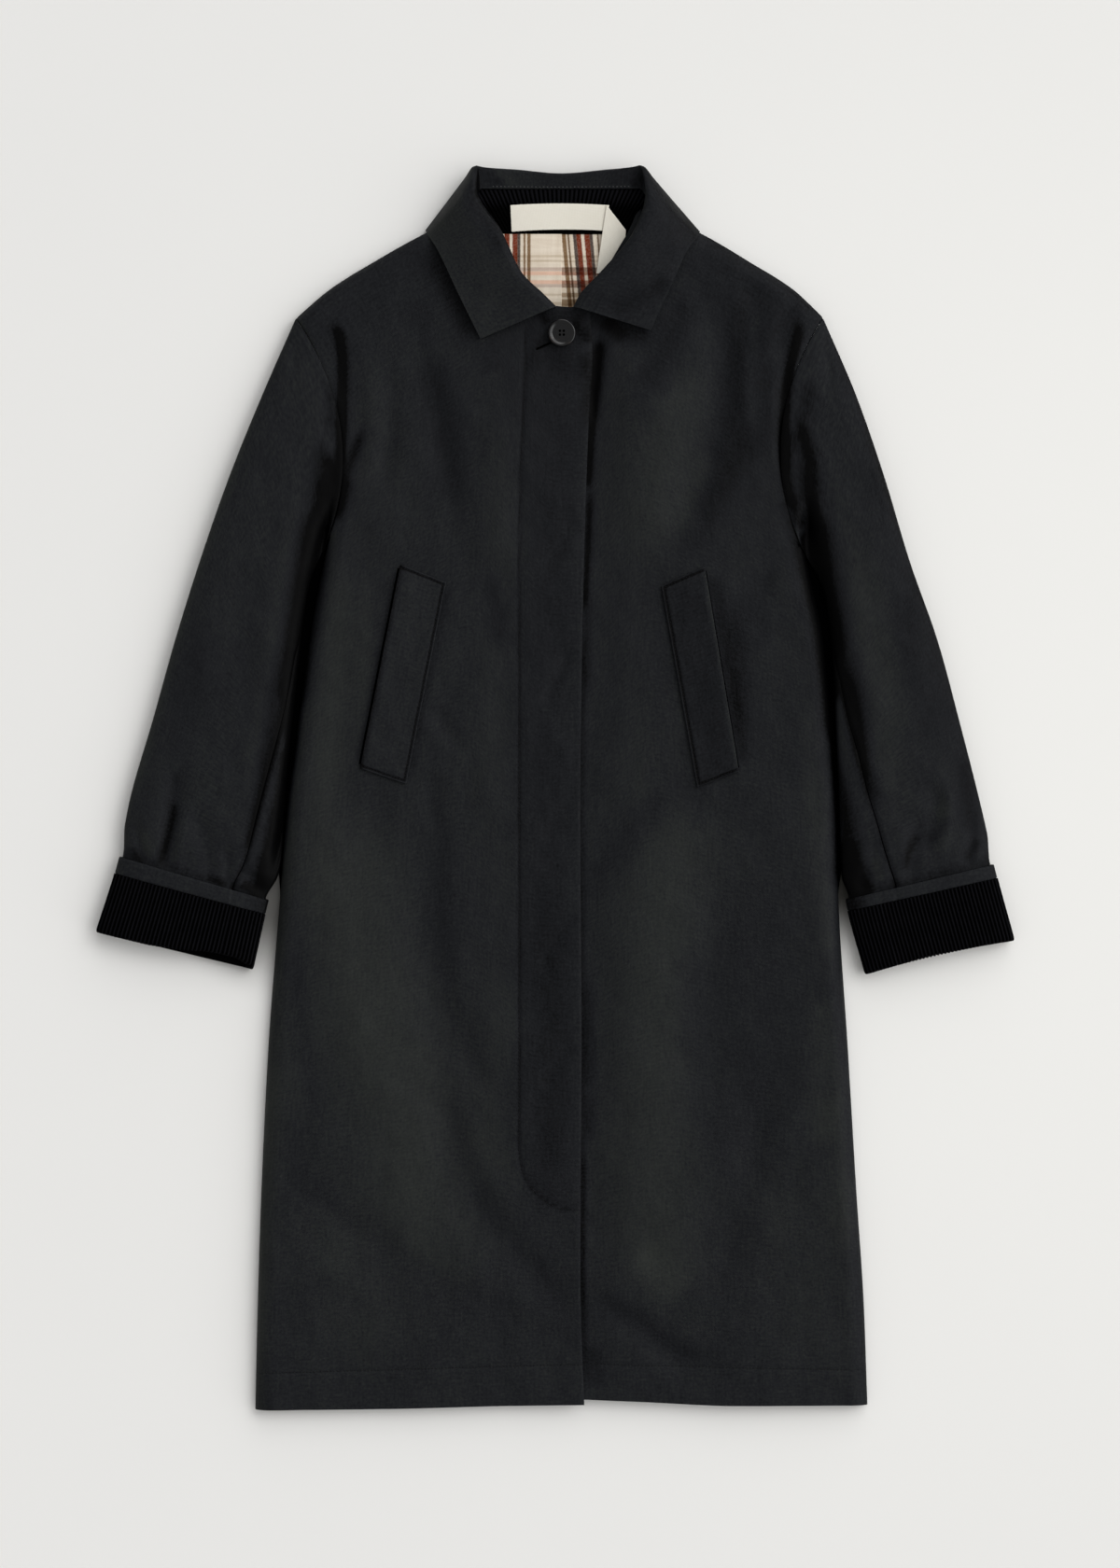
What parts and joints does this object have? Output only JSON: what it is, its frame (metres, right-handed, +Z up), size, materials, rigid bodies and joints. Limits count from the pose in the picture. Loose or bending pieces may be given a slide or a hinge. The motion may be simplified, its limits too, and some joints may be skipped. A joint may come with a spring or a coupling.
{
  "type": "oilskin coat",
  "caption": "Knee-length waxed-cotton coat laid flat on its back, with a fly front, shirt collar, slanted welt pockets and turned-back corduroy cuffs.",
  "frame": {"origin": "bottom centre of the bounding box: the middle of the coat on the surface it lies on", "axes": "+Y from the hem to the collar, +X towards the wearer's left sleeve, +Z up from the surface, out of the coat's front"},
  "size_m": [0.8131, 1.1052, 0.0316],
  "materials": {
    "oilskin": "black waxed cotton with a soft, mottled sheen",
    "corduroy": "matte black wide-wale corduroy",
    "check_lining": "brushed cotton check, cream with brown, rust and navy stripes",
    "tape": "cream twill tape, plain",
    "button": "black, half gloss"
  },
  "bodies": {
    "root": {"back_panel": "oilskin", "front_right": "oilskin", "front_left": "oilskin", "sleeve_right_top": "oilskin", "sleeve_right_under": "oilskin", "sleeve_left_top": "oilskin", "sleeve_left_under": "oilskin", "cuff_right_band": "oilskin", "cuff_left_band": "oilskin", "cuff_right_corduroy": "corduroy", "cuff_left_corduroy": "corduroy", "collar": "oilskin", "neck_band": "corduroy", "lining_right": "check_lining", "lining_left": "check_lining", "neck_tape_across": "tape", "neck_tape_down": "tape", "pocket_welt_right": "oilskin", "pocket_welt_left": "oilskin", "button": "button"}
  },
  "joints": []
}
